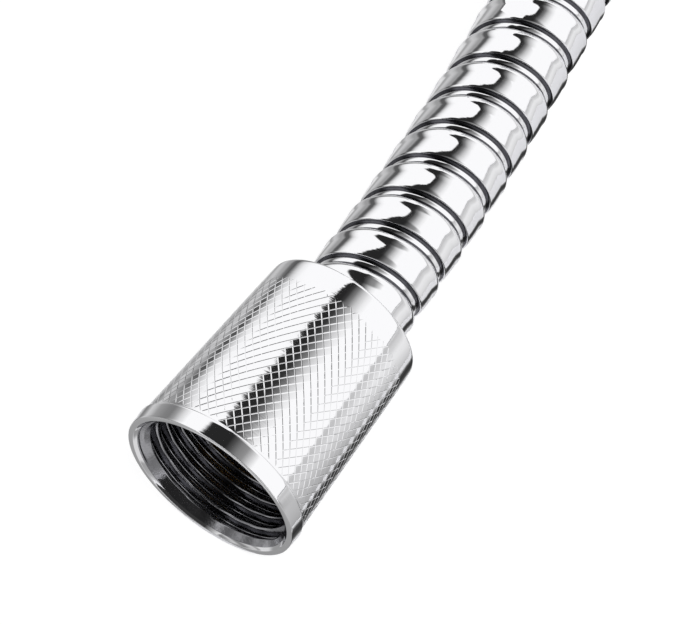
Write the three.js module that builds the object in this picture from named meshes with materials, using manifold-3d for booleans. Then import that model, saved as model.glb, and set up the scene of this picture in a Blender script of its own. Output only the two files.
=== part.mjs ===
// Shower hose: a stripwound steel hose with a conical nut on one end and a hexagonal nut on the other.
// Millimetres, +Z up, lying on the plane z = 0. Both fittings point along -Y; the hose leaves them along +Y.
// A turned piece is a profile of [radius, distance behind the nut's mouth] swept about the Y axis.
import * as THREE from "three";
import { mergeVertices } from "three/addons/utils/BufferGeometryUtils.js";
import Module from "manifold-3d";

const wasm = await Module();
wasm.setup();

// Fits
const faceGap = 0.3; // between faces that bear on each other
const crimpGap = 0.2; // round the barbs and the hose end that the ferrule squeezes
const runningGap = 0.35; // round the ferrule where a nut or a slip ring turns on it
const layGap = 0.05; // between the hose and what it lies on
const turnGap = 0.3; // between one turn of the coil and the next

// How finely the round pieces are drawn
const nutSides = 60;
const innerSides = 36;
const ringSides = 60;
const edgeSteps = 4;
const coilEdgeSteps = 6;
const tubeSteps = 14;
const tailPointCount = 18;

// Half inch pipe thread of both nuts
const threadMajor = 20.955;
const threadMinor = 18.631;
const lipClearance = 0.5;
const leadInClearance = 0.25;
const leadInDepth = 1.2;
const leadInCone = 0.8;
const chamberClearance = 0.6;
const chamberRun = 0.4;

// Spigot inside the hose end
const waterwayDiameter = 7.6;
const stemDiameter = 9.4;
const barbHeight = 0.45;
const barbLength = 2.6;
const barbCount = 3;
const barbStart = 2.6;
const stemTail = 1.0;
const flangeDiameter = 17.8;
const flangeThickness = 1.8;
const sealRimWidth = 0.6;
const sealRimDepth = 0.25;
const edgeBreak = 0.2;

// Sealing washer
const washerDiameter = 18.2;
const washerBore = 11.2;
const washerThickness = 2.0;

// Slip ring that the nut bears on
const slipRingDiameter = 17.8;
const slipRingThickness = 1.2;

// Inner hose and ferrule
const linerWall = 1.1;
const ferruleWall = 0.7;
const ferruleLength = 11.2;
const ferruleLip = 1.0;
const ferruleTaperLength = 2.5;
const ferruleTaper = 0.35;
const crimpCount = 2;
const crimpPitch = 3.6;
const crimpWidth = 1.6;
const crimpDepth = 0.3;
const crimpStart = 2.6;

// Conical nut
const coneMouthDiameter = 23.0;
const coneBandDiameter = 23.2;
const coneBandWidth = 2.25;
const coneGripFront = 22.76;
const coneBackDiameter = 20.4;
const coneBackRounding = 0.5;
const coneLength = 27.6;
const coneSealDepth = 11.0;

// Hexagonal nut
const hexAcrossFlats = 24.0;
const hexLength = 16.6;
const hexChamfer = 0.6;
const hexSealDepth = 8.2;

// Hose
const hoseDiameter = 14.1;
const hoseSides = 12;
const coilRadius = 77.0;
const coilLayers = 3;
const tailLevel = 25;
const tailDrop = 84;
const tailEnd = 6;

// Line of the hose from the conical nut to the coil: sideways, distance, share of the drop still to come
const route = [
  [0, 0, 1],
  [-0.03, 3, 0.995],
  [-0.28, 8, 0.94],
  [-0.7, 14, 0.845],
  [-1.25, 20, 0.72],
  [-2.06, 27, 0.555],
  [-3.03, 34, 0.375],
  [-4.06, 41, 0.215],
  [-5.15, 48, 0.09],
  [-6.23, 55, 0.02],
  [-7.28, 62, 0],
  [-8.15, 69, 0],
  [-8.85, 76, 0],
  [-9.35, 83, 0],
  [-9.72, 91, 0],
  [-9.94, 100, 0],
  [-10, 109, 0],
  [-10, 117, 0],
];

// Radii that follow from the sizes above
const barbRadius = stemDiameter / 2 + barbHeight;
const linerInner = barbRadius + crimpGap;
const linerOuter = linerInner + linerWall;
const ferruleInner = linerOuter + crimpGap;
const ferruleOuter = ferruleInner + ferruleWall;
const holeRadius = ferruleOuter + runningGap;
const hoseRadius = hoseDiameter / 2;
const layHeight = hoseRadius + layGap;
const turnStep = hoseDiameter + turnGap;
const coneAxisHeight = coneBandDiameter / 2;
const hexAxisHeight = hexAcrossFlats / 2;

const polished = { color: 0xdfe0e4, metalness: 1, roughness: 0.08 };
const brushed = { color: 0xc9cace, metalness: 1, roughness: 0.22 };
const brass = { color: 0xc8a45a, metalness: 1, roughness: 0.3 };
const rubber = { color: 0x1a1a1c, metalness: 0, roughness: 0.85 };
const nylon = { color: 0xe9e7e0, metalness: 0, roughness: 0.5 };
const steel = { color: 0xd4d5d9, metalness: 1, roughness: 0.12 };

// Distances behind the nut's mouth of what is stacked inside it
function stack(sealDepth) {
  const washerBack = sealDepth + washerThickness;
  const flangeFront = washerBack + faceGap;
  const flangeBack = flangeFront + flangeThickness;
  const sleeveFront = flangeBack + faceGap;
  const sleeveBack = sleeveFront + ferruleLength;
  const ringBack = sleeveFront + slipRingThickness;
  const shoulder = ringBack + faceGap;
  return { washerBack, flangeFront, flangeBack, sleeveFront, sleeveBack, ringBack, shoulder };
}

// Points of a rounded edge, from the widest radius to the end face
function rounded(radius, endY, rounding) {
  const points = [];
  for (let i = 0; i <= edgeSteps; i += 1) {
    const angle = (i / edgeSteps) * (Math.PI / 2);
    const r = radius - rounding * (1 - Math.cos(angle));
    points.push([r, endY - rounding * (1 - Math.sin(angle))]);
  }
  return points;
}

// A profile of [radius, y] that closes on itself, or starts and ends on the axis
function turned(profile, sides = innerSides) {
  const points = profile.map(([r, y]) => new THREE.Vector2(r, y));
  const onAxis = profile[0][0] === 0 && profile[profile.length - 1][0] === 0;
  if (!onAxis) points.push(points[0].clone());
  return new THREE.LatheGeometry(points, sides);
}

function toSolid(geometry) {
  const bare = geometry.clone();
  bare.deleteAttribute("normal");
  bare.deleteAttribute("uv");
  const merged = mergeVertices(bare, 1e-4);
  const mesh = new wasm.Mesh({
    numProp: 3,
    vertProperties: Float32Array.from(merged.attributes.position.array),
    triVerts: Uint32Array.from(merged.index.array),
  });
  return new wasm.Manifold(mesh);
}

function toGeometry(solid) {
  const mesh = solid.getMesh();
  const geometry = new THREE.BufferGeometry();
  geometry.setAttribute("position", new THREE.BufferAttribute(Float32Array.from(mesh.vertProperties), 3));
  geometry.setIndex(new THREE.BufferAttribute(Uint32Array.from(mesh.triVerts), 1));
  geometry.computeVertexNormals();
  return geometry;
}

function piece(name, geometry, look) {
  const mesh = new THREE.Mesh(geometry, new THREE.MeshStandardMaterial(look));
  mesh.name = name;
  return mesh;
}

// The inside of a nut, from back to mouth: hole, bearing shoulder, chamber, thread bore and lead-in
function nutInside(length, sealDepth) {
  const at = stack(sealDepth);
  const chamber = (threadMinor + chamberClearance) / 2;
  return [
    [holeRadius, length],
    [holeRadius, at.shoulder],
    [chamber, at.shoulder],
    [chamber, sealDepth - chamberRun],
    [threadMinor / 2, sealDepth - 2 * chamberRun],
    [threadMinor / 2, leadInDepth + leadInCone],
    [(threadMajor + leadInClearance) / 2, leadInDepth],
    [(threadMajor + lipClearance) / 2, 0],
  ];
}

// A plain band, then a long cone that ends at a rounded edge round a flat back
function coneNut() {
  const outside = [
    [coneMouthDiameter / 2 - edgeBreak, 0],
    [coneMouthDiameter / 2, edgeBreak],
    [coneBandDiameter / 2, coneBandWidth - edgeBreak],
    [coneBandDiameter / 2 - edgeBreak / 2, coneBandWidth],
    [coneGripFront / 2, coneBandWidth + edgeBreak],
    ...rounded(coneBackDiameter / 2, coneLength, coneBackRounding),
  ];
  return turned([...outside, ...nutInside(coneLength, coneSealDepth)], nutSides);
}

// Six flats with both ends turned off to a cone, bored like the conical nut
function hexNut() {
  const corner = hexAcrossFlats / 2 / Math.cos(Math.PI / 6);
  const hexagon = new THREE.Shape();
  for (let i = 0; i < 6; i += 1) {
    const angle = (i * Math.PI) / 3;
    const x = corner * Math.cos(angle);
    const y = corner * Math.sin(angle);
    if (i === 0) hexagon.moveTo(x, y);
    else hexagon.lineTo(x, y);
  }
  hexagon.closePath();
  const bar = new THREE.ExtrudeGeometry(hexagon, { depth: hexLength, bevelEnabled: false });
  bar.rotateX(-Math.PI / 2);
  const face = hexAcrossFlats / 2 - hexChamfer;
  const rise = (corner - face) * Math.tan(Math.PI / 6);
  const coned = [
    [0, 0],
    [face, 0],
    [corner, rise],
    [corner, hexLength - rise],
    [face, hexLength],
    [0, hexLength],
  ];
  const inside = nutInside(hexLength, hexSealDepth).reverse();
  const bored = [
    [0, -1],
    [inside[0][0], -1],
    ...inside,
    [holeRadius, hexLength + 1],
    [0, hexLength + 1],
  ];
  const cone = toSolid(turned(coned, nutSides));
  const bore = toSolid(turned(bored, nutSides));
  return toGeometry(toSolid(bar).intersect(cone).subtract(bore));
}

function washer(sealDepth) {
  const at = stack(sealDepth);
  const outer = washerDiameter / 2;
  const inner = washerBore / 2;
  return turned([
    [inner, sealDepth],
    [outer - edgeBreak, sealDepth],
    [outer, sealDepth + edgeBreak],
    [outer, at.washerBack - edgeBreak],
    [outer - edgeBreak, at.washerBack],
    [inner, at.washerBack],
  ]);
}

function slipRing(sealDepth) {
  const at = stack(sealDepth);
  const outer = slipRingDiameter / 2;
  return turned([
    [holeRadius, at.sleeveFront],
    [outer - edgeBreak, at.sleeveFront],
    [outer, at.sleeveFront + edgeBreak],
    [outer, at.ringBack - edgeBreak],
    [outer - edgeBreak, at.ringBack],
    [holeRadius, at.ringBack],
  ]);
}

// A flange with a raised sealing rim, then a stem with saw-tooth barbs that point back at the nut
function spigot(sealDepth) {
  const at = stack(sealDepth);
  const bore = waterwayDiameter / 2;
  const stem = stemDiameter / 2;
  const rimOuter = bore + edgeBreak + sealRimWidth;
  const outside = [
    [bore, at.flangeFront],
    [rimOuter, at.flangeFront],
    [rimOuter, at.flangeFront + sealRimDepth],
    [rimOuter + sealRimWidth, at.flangeFront + sealRimDepth],
    [rimOuter + sealRimWidth, at.flangeFront],
    [flangeDiameter / 2 - edgeBreak, at.flangeFront],
    [flangeDiameter / 2, at.flangeFront + edgeBreak],
    [flangeDiameter / 2, at.flangeBack - edgeBreak],
    [flangeDiameter / 2 - edgeBreak, at.flangeBack],
    [stem, at.flangeBack],
  ];
  const first = at.flangeBack + barbStart;
  for (let i = 0; i < barbCount; i += 1) {
    const start = first + i * barbLength;
    outside.push([stem, start]);
    outside.push([barbRadius, start]);
    outside.push([barbRadius, start + edgeBreak]);
    outside.push([stem, start + barbLength - edgeBreak]);
  }
  const end = first + barbCount * barbLength + stemTail - edgeBreak;
  outside.push([stem, end - edgeBreak]);
  outside.push([stem - edgeBreak, end]);
  outside.push([bore, end]);
  return turned(outside);
}

// The end of the inner hose, squeezed between the barbs and the ferrule
function linerEnd(sealDepth) {
  const at = stack(sealDepth);
  const front = at.sleeveFront + ferruleLip + crimpGap;
  return turned([
    [linerInner, front],
    [linerOuter, front],
    [linerOuter, at.sleeveBack - edgeBreak],
    [linerInner, at.sleeveBack - edgeBreak],
  ]);
}

// A drawn sleeve: a lip behind the flange, two crimped grooves and a mouth that narrows onto the hose
function ferrule(sealDepth) {
  const at = stack(sealDepth);
  const lipRadius = stemDiameter / 2 + crimpGap;
  const outside = [
    [lipRadius, at.sleeveFront],
    [ferruleOuter - edgeBreak, at.sleeveFront],
    [ferruleOuter, at.sleeveFront + edgeBreak],
  ];
  for (let i = 0; i < crimpCount; i += 1) {
    const start = at.sleeveFront + crimpStart + i * crimpPitch;
    outside.push([ferruleOuter, start]);
    outside.push([ferruleOuter - crimpDepth, start + crimpWidth / 3]);
    outside.push([ferruleOuter - crimpDepth, start + (2 * crimpWidth) / 3]);
    outside.push([ferruleOuter, start + crimpWidth]);
  }
  outside.push([ferruleOuter, at.sleeveBack - ferruleTaperLength]);
  outside.push([ferruleOuter - ferruleTaper / 3, at.sleeveBack - ferruleTaperLength / 2]);
  outside.push([ferruleOuter - ferruleTaper, at.sleeveBack - edgeBreak]);
  return turned([
    ...outside,
    [ferruleOuter - ferruleTaper - edgeBreak / 2, at.sleeveBack],
    [ferruleInner, at.sleeveBack],
    [ferruleInner, at.sleeveFront + ferruleLip],
    [lipRadius, at.sleeveFront + ferruleLip],
  ]);
}

// Everything on one end of the hose, with the mouth of its nut at the group's origin
function endFitting(prefix, nut, sealDepth) {
  const group = new THREE.Group();
  group.add(piece(prefix + "_nut", nut, polished));
  group.add(piece(prefix + "_washer", washer(sealDepth), rubber));
  group.add(piece(prefix + "_slip_ring", slipRing(sealDepth), nylon));
  group.add(piece(prefix + "_spigot", spigot(sealDepth), brass));
  group.add(piece(prefix + "_inner_hose_end", linerEnd(sealDepth), rubber));
  group.add(piece(prefix + "_ferrule", ferrule(sealDepth), brushed));
  return group;
}

// A round tube along a smooth line through the points, cut square at both ends
function tube(points, radius) {
  const section = new THREE.Shape();
  for (let i = 0; i < hoseSides; i += 1) {
    const angle = (i * 2 * Math.PI) / hoseSides;
    const x = radius * Math.cos(angle);
    const y = radius * Math.sin(angle);
    if (i === 0) section.moveTo(x, y);
    else section.lineTo(x, y);
  }
  section.closePath();
  const line = new THREE.CatmullRomCurve3(points);
  return new THREE.ExtrudeGeometry(section, { steps: tubeSteps, extrudePath: line, bevelEnabled: false });
}

const nearEnd = stack(coneSealDepth).sleeveBack;
const farEnd = stack(hexSealDepth).sleeveBack;
const hoseStart = nearEnd + faceGap;
const [coilX, coilRun] = route[route.length - 1];
const coilCentre = new THREE.Vector3(coilX - coilRadius, hoseStart + coilRun, 0);
const tailX = coilCentre.x - coilRadius;
const tailTop = layHeight + (coilLayers - 1) * turnStep;
const tailLength = tailLevel + tailDrop + tailEnd;
const farMouth = coilCentre.y - tailLength - faceGap - farEnd;

// The line from the conical nut to the coil; extra carries its last point on
function runPoints(extra) {
  return route.map(([x, distance, share], i) => {
    const y = hoseStart + distance + (i === route.length - 1 ? extra : 0);
    return new THREE.Vector3(x, y, layHeight + share * (coneAxisHeight - layHeight));
  });
}

// The line from the top of the coil down to the hexagonal nut, in two equal bends; extra carries its start back
function tailPoints(extra) {
  const points = [];
  for (let i = 0; i <= tailPointCount; i += 1) {
    const t = (i / tailPointCount) * tailLength;
    const u = THREE.MathUtils.clamp((t - tailLevel) / tailDrop, 0, 1);
    const fall = u < 0.5 ? 2 * u * u : 1 - 2 * (1 - u) * (1 - u);
    const y = coilCentre.y - t + (i === 0 ? extra : 0);
    points.push(new THREE.Vector3(tailX, y, tailTop + fall * (hexAxisHeight - tailTop)));
  }
  return points;
}

// The outer shape of the coiled turns: one ring, with a pocket where each tube meets it
function coil() {
  const height = tailTop + hoseRadius;
  const profile = [];
  for (let i = 0; i <= coilEdgeSteps; i += 1) {
    const angle = (i / coilEdgeSteps) * Math.PI;
    profile.push([coilRadius - hoseRadius * Math.cos(angle), layHeight - hoseRadius * Math.sin(angle)]);
  }
  for (let i = 0; i <= coilEdgeSteps; i += 1) {
    const angle = (i / coilEdgeSteps) * Math.PI;
    profile.push([coilRadius + hoseRadius * Math.cos(angle), height - hoseRadius * (1 - Math.sin(angle))]);
  }
  const ring = turned(profile, ringSides);
  ring.rotateX(Math.PI / 2);
  ring.translate(coilCentre.x, coilCentre.y, 0);
  const entry = tube(runPoints(faceGap), hoseRadius + turnGap);
  const exit = tube(tailPoints(faceGap), hoseRadius + turnGap);
  return toGeometry(toSolid(ring).subtract(toSolid(entry)).subtract(toSolid(exit)));
}

const hose = new THREE.Group();

const coneEnd = endFitting("cone", coneNut(), coneSealDepth);
coneEnd.position.set(0, 0, coneAxisHeight);
hose.add(coneEnd);

const hexEnd = endFitting("hex", hexNut(), hexSealDepth);
hexEnd.position.set(tailX, farMouth, hexAxisHeight);
hose.add(hexEnd);

hose.add(piece("hose_run", tube(runPoints(0), hoseRadius), steel));
hose.add(piece("hose_coil", coil(), steel));
hose.add(piece("hose_tail", tube(tailPoints(0), hoseRadius), steel));

// The origin is on the floor, under the middle of the conical nut
const shower = new THREE.Group();
hose.position.y = -coneLength / 2;
shower.add(hose);

export default shower;
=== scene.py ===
# %% [markdown]
# # A steel shower hose
# The real object is a stripwound steel hose with a swivelling nut on each end: a knurled conical one for the
# handset, and a hexagonal one for the mixer. Both are chromed, so almost all that the eye sees of them is the room.
# The file makes the camera and the hose's route first, then each turned piece, then the finishes, and then the
# studio. The sizes are millimetres in the code and metres in Blender.

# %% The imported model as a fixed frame
from collections import namedtuple
import bpy
import numpy as np
from mathutils import Matrix, Vector


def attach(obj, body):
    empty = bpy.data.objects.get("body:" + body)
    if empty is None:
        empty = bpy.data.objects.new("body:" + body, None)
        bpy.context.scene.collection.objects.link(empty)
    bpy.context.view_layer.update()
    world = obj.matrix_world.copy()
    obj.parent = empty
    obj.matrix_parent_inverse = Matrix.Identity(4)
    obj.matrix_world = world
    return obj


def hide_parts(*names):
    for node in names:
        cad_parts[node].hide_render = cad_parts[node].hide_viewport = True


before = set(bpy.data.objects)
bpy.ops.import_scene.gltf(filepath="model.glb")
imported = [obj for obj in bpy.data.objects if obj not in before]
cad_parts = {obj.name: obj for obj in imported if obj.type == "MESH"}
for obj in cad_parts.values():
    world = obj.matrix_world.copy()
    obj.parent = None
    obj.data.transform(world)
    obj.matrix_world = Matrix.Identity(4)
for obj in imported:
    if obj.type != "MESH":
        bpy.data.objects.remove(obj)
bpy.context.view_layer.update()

# %% [markdown]
# ## The camera
# The nut's mouth is a circle of known size, so its ellipse in the picture gives the angle and the distance. A long
# lens from about a third of a metre keeps the perspective as mild as a product picture has it. The three columns of
# CAMERA_TURN are the camera's right, up and backward directions.

# %% Camera
SENSOR_WIDTH, LENS, NEAREST = 36.0, 153.1, 0.01
CAMERA_PLACE = (0.10741, -0.14584, 0.30658)
CAMERA_TURN = Matrix(((0.83131, -0.46477, 0.30482), (0.55581, 0.69514, -0.45592), (0.0, 0.54843, 0.83620)))
camera_data = bpy.data.cameras.new("camera")
camera_data.sensor_fit = "HORIZONTAL"
camera_data.sensor_width = SENSOR_WIDTH
camera_data.lens = LENS
camera_data.clip_start = NEAREST
camera = bpy.data.objects.new("camera", camera_data)
bpy.context.scene.collection.objects.link(camera)
camera.matrix_world = Matrix.Translation(CAMERA_PLACE) @ CAMERA_TURN.to_4x4()
bpy.context.scene.camera = camera
print("camera at", tuple(round(v, 4) for v in camera.location))

# %% [markdown]
# ## The hose's line
# A hose is first of all a line of fixed length. It leaves the conical nut level, sinks to the floor in a long bend,
# runs on past the edge of the picture, lies in two and a half turns on top of each other, and comes down to the
# second nut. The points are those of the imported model. A curve with matched slopes joins them, and the line is then
# sampled again at even steps, so that a distance along the hose is a plain index.

# %% Helpers for smooth lines
MM = 0.001


def smooth(t, knots, values):
    """A cubic through (knots, values) whose slope at each knot is the mean slope of its neighbours."""
    knots, values = np.asarray(knots, float), np.asarray(values, float)
    slopes = np.gradient(values, knots)
    i = np.clip(np.searchsorted(knots, t) - 1, 0, len(knots) - 2)
    step = knots[i + 1] - knots[i]
    u = (t - knots[i]) / step
    rise = (2 * u**3 - 3 * u**2 + 1) * values[i] + (3 * u**2 - 2 * u**3) * values[i + 1]
    return rise + (u**3 - 2 * u**2 + u) * step * slopes[i] + (u**3 - u**2) * step * slopes[i + 1]


def ease(u):
    """Goes from 0 to 1 and starts and ends level."""
    u = np.clip(u, 0.0, 1.0)
    return u * u * (3 - 2 * u)


# %% The route in three stretches
NUT_LENGTH, HOSE_BEHIND_MOUTH = 27.6, 26.9
HOSE_RADIUS = 7.05
CONE_AXIS, HEX_AXIS, LAY = 11.6, 12.0, 7.1
HOSE_START = HOSE_BEHIND_MOUTH - NUT_LENGTH / 2
RUN_LENGTH = 117.0
COIL_RADIUS, TURN_STEP, TURNS = 77.0, 14.4, 2.5
CLIMB_START, CLIMB_SPAN, TOP_LEVEL = 280, 65, 2
TAIL_LEVEL, TAIL_DROP, TAIL_END = 25.0, 84.0, 6.0
# the run's distance along Y, its offset to the side, and how much is left of its height over the coil's first turn
run_along = [0, 3, 8, 14, 20, 27, 34, 41, 48, 55, 62, 69, 76, 83, 91, 100, 109, 117]
run_aside = [0, -0.03, -0.28, -0.7, -1.25, -2.06, -3.03, -4.06, -5.15, -6.23, -7.28, -8.15, -8.85, -9.35, -9.72,
             -9.94, -10, -10]
run_share = [1, 0.995, 0.94, 0.845, 0.72, 0.555, 0.375, 0.215, 0.09, 0.02, 0, 0, 0, 0, 0, 0, 0, 0]
coil_x = run_aside[-1] - COIL_RADIUS
coil_y = HOSE_START + RUN_LENGTH
tail_x = coil_x - COIL_RADIUS
tail_top = LAY + TOP_LEVEL * TURN_STEP
tail_length = TAIL_LEVEL + TAIL_DROP + TAIL_END


def run_line(d):
    """From the conical nut to the coil, at distance d along Y."""
    z = LAY + np.clip(smooth(d, run_along, run_share), 0, 1) * (CONE_AXIS - LAY)
    return np.stack([smooth(d, run_along, run_aside), HOSE_START + d, z], 1)


def coil_line(angle):
    """Round the coil, climbing one step in a short stretch of each whole turn."""
    whole = np.floor(angle / (2 * np.pi))
    climb = ease((np.degrees(angle) - 360 * whole - CLIMB_START) / CLIMB_SPAN)
    level = np.minimum(whole + climb, TOP_LEVEL)
    x = coil_x + COIL_RADIUS * np.cos(angle)
    y = coil_y + COIL_RADIUS * np.sin(angle)
    return np.stack([x, y, LAY + TURN_STEP * level], 1)


def tail_line(t):
    """From the top of the coil down to the hexagonal nut, in two equal bends."""
    u = np.clip((t - TAIL_LEVEL) / TAIL_DROP, 0, 1)
    fall = np.where(u < 0.5, 2 * u * u, 1 - 2 * (1 - u) ** 2)
    return np.stack([np.full_like(t, tail_x), coil_y - t, tail_top + fall * (HEX_AXIS - tail_top)], 1)


def route(run_points, coil_points, tail_points):
    """The three stretches, one after the other, without the points that they share."""
    first = run_line(run_points)
    middle = coil_line(np.linspace(0, TURNS * 2 * np.pi, coil_points))
    last = tail_line(np.linspace(0, tail_length, tail_points))
    return np.concatenate([first, middle[1:], last[1:]])


def lengths(points):
    """Distance along the line at each of its points."""
    return np.concatenate([[0], np.cumsum(np.linalg.norm(np.diff(points, axis=0), axis=1))])


fine = route(np.linspace(0, RUN_LENGTH, 600), 4000, 600)
hose_length = lengths(fine)[-1]
EVEN_STEPS = 2  # a millimetre
even = np.linspace(0, hose_length, int(hose_length * EVEN_STEPS) + 1)
centre_line = np.stack([np.interp(even, lengths(fine), fine[:, i]) for i in range(3)], 1)

# %% [markdown]
# ## Meshes from arrays
# Every piece is a grid of points worked out at once. One function puts points and faces into a mesh. It measures the
# volume that the faces enclose, and where that comes out negative they face inwards and are turned over.

# %% Mesh helper
def enclosed(points, faces):
    """Volume inside the faces: the sum of the pyramids from the origin to each triangle of each face."""
    first, second, third = points[faces[:, :1]], points[faces[:, 1:-1]], points[faces[:, 2:]]
    return (first * np.cross(second, third)).sum() / 6


def make_mesh(name, points, face_sets, finishes=None):
    """An object from points in millimetres and sets of faces. All faces of a set have the same number of corners, and
    finishes holds the material slot of each face."""
    if sum(enclosed(points, faces) for faces in face_sets) < 0:
        face_sets = [faces[:, ::-1] for faces in face_sets]
    mesh = bpy.data.meshes.new(name)
    corners = np.concatenate([faces.ravel() for faces in face_sets])
    sizes = np.concatenate([np.full(len(faces), faces.shape[1]) for faces in face_sets])
    mesh.vertices.add(len(points))
    mesh.vertices.foreach_set("co", (points * MM).astype(np.float32).ravel())
    mesh.loops.add(len(corners))
    mesh.loops.foreach_set("vertex_index", corners.astype(np.int32))
    mesh.polygons.add(len(sizes))
    mesh.polygons.foreach_set("loop_start", (np.cumsum(sizes) - sizes).astype(np.int32))
    if finishes is not None:
        mesh.polygons.foreach_set("material_index", finishes.astype(np.int32))
    mesh.update(calc_edges=True)
    mesh.validate()
    mesh.shade_smooth()
    made = bpy.data.objects.new(name, mesh)
    bpy.context.scene.collection.objects.link(made)
    print(name, "has", int((sizes - 2).sum()), "triangles")
    return made


# %% [markdown]
# ## The stripwound sheath
# A narrow steel strip is rolled to an S and wound so that each turn hooks into the one before. Seen from outside that
# is one helix: a polished band, a rounded far edge, a thin bead and a dark seam. So its section is drawn once, over
# one pitch, and carried along the hose while it goes round: a point at turn t and share v of the pitch lies at angle
# t, at the distance that belongs to turn t + v. The far side of one turn is the near side of the next, so they share
# their points, and the helix has no seam to close. Each point also keeps its place on the hose drawn out straight,
# for the lines that the rolls leave along the strip.
# Near the nut the turns are closer together, and they open a little in the bend, as a real hose's do.
# The picture shows only the first turns from near, so those have four times as many sides as the rest. Where the
# two meet, the first coarse turn's faces take in the fine turn's extra points, which lie on its straight edges.

# %% Section of the sheath over one pitch
SIDES, FINER, FIRST_TURN, FINE_TURNS = 21, 4, -2, 12
FINE_SIDES = SIDES * FINER
SEEN_PITCHES = [5.9, 5.9, 5.9, 5.9, 5.9, 6.2, 6.4, 6.35, 6.55, 6.7, 6.45]
PITCH, FIRST_CORNER, LEAN = 6.3, 5.93, 0.08
HELIX_START, LEAN_TOWARD = 10 / 360, np.radians(35)
INSIDE_TURNS, SPARE_TURNS, SLIVER = 3, 6, 1e-7
# share of the pitch and height over the hose's radius: band, rounded edge, seam, bead, seam
section = np.array([
    [0.000, -0.34], [0.008, -0.19], [0.035, -0.155], [0.09, -0.09], [0.16, -0.04], [0.27, -0.01], [0.40, 0.0],
    [0.535, -0.01], [0.575, 0.085], [0.63, 0.05], [0.685, -0.07], [0.735, -0.32], [0.78, -1.10], [0.835, -0.76],
    [0.885, -0.62], [0.955, -0.62], [0.972, -0.86]])
# the rows of the seam, which take the darker grey that is painted shade
shaded_seam_rows = [11, 12, 15, 16]
rows = len(section)


def frames_along(points):
    """At each point of a line: the direction ahead, the one to its right and the one upward from it."""
    ahead = np.gradient(points, axis=0)
    ahead /= np.linalg.norm(ahead, axis=1)[:, None]
    right = np.cross(ahead, [0, 0, 1.0])
    right /= np.linalg.norm(right, axis=1)[:, None]
    return ahead, right, np.cross(right, ahead)


# %% Points of the helix
seen_turns = np.arange(len(SEEN_PITCHES) + 1) - INSIDE_TURNS
seen_places = FIRST_CORNER - sum(SEEN_PITCHES[:INSIDE_TURNS]) + np.concatenate([[0], np.cumsum(SEEN_PITCHES)])
more = np.arange(1, int((hose_length - seen_places[-1]) / PITCH) + SPARE_TURNS)
knots = np.concatenate([seen_turns, seen_turns[-1] + more])
places = np.concatenate([seen_places, seen_places[-1] + PITCH * more])
last_turn = int(np.ceil(np.interp(hose_length + 1, places, knots)))
fine_count = (FINE_TURNS - FIRST_TURN) * FINE_SIDES
turns = np.concatenate([FIRST_TURN + np.arange(fine_count) / FINE_SIDES,
                        FINE_TURNS + np.arange((last_turn + 1 - FINE_TURNS) * SIDES + 1) / SIDES])[:, None]
angle = 2 * np.pi * (turns + HELIX_START)
along = smooth(turns + section[None, :, 0], knots, places) + LEAN * np.sin(angle - LEAN_TOWARD)
within = (along > 0) & (along < hose_length)
along = np.clip(along, 0, hose_length)
reach = (HOSE_RADIUS + np.where(within, section[None, :, 1], section[0, 1]))[..., None]
ahead, right, up = frames_along(centre_line)
middle, side, over = [np.stack([np.interp(along, even, a[:, i]) for i in range(3)], -1)
                      for a in (centre_line, right, up)]
outward = np.cos(angle)[..., None] * over + np.sin(angle)[..., None] * side
unrolled = np.stack([reach[..., 0] * np.cos(angle), along, reach[..., 0] * np.sin(angle)], -1)
grid = np.concatenate([middle + reach * outward, unrolled], -1)
coarse_edge = grid[fine_count:fine_count + SIDES + 1, 0]
share = np.arange(1, FINER)[None, :, None] / FINER
between = coarse_edge[:-1, None] * (1 - share) + coarse_edge[1:, None] * share
points, unrolled = np.split(np.concatenate([grid.reshape(-1, 6), between.reshape(-1, 6)]), 2, axis=1)
print("helix:", last_turn, "turns,", len(points), "points")

# %% Faces of the helix
number = np.arange(len(turns))[:, None] * rows + np.arange(rows)[None, :]
between_number = grid.shape[0] * rows + np.arange(SIDES * (FINER - 1)).reshape(SIDES, FINER - 1)
first_coarse = number[fine_count:fine_count + SIDES, :1]
edge_of_fine = np.concatenate([first_coarse, between_number], 1).ravel()
far_side = np.concatenate([number[FINE_SIDES:fine_count, 0], edge_of_fine, number[fine_count + SIDES:, 0]])
columns = len(far_side)
ring = np.concatenate([number[:columns], far_side[:, None]], 1)
quads = np.stack([ring[:-1, :-1], ring[1:, :-1], ring[1:, 1:], ring[:-1, 1:]], -1)
joint = quads[fine_count:fine_count + SIDES, 0]
wide = np.stack([joint[:, 0], *between_number.T, joint[:, 1], joint[:, 2], joint[:, 3]], 1)
plain = np.ones(quads.shape[:2], bool)
plain[fine_count:fine_count + SIDES, 0] = False
row_of = np.broadcast_to(np.arange(rows), quads.shape[:2])[plain]
quads = quads[plain]
area = np.linalg.norm(np.cross(points[quads[:, 2]] - points[quads[:, 0]], points[quads[:, 3]] - points[quads[:, 1]]),
                      axis=1)
quads, row_of = quads[area > SLIVER], row_of[area > SLIVER]
if enclosed(points, quads) < 0:
    quads, wide = quads[:, ::-1], wide[:, ::-1]
print("helix:", len(quads), "quads and", len(wide), "wide faces where fine and coarse turns meet")

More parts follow.
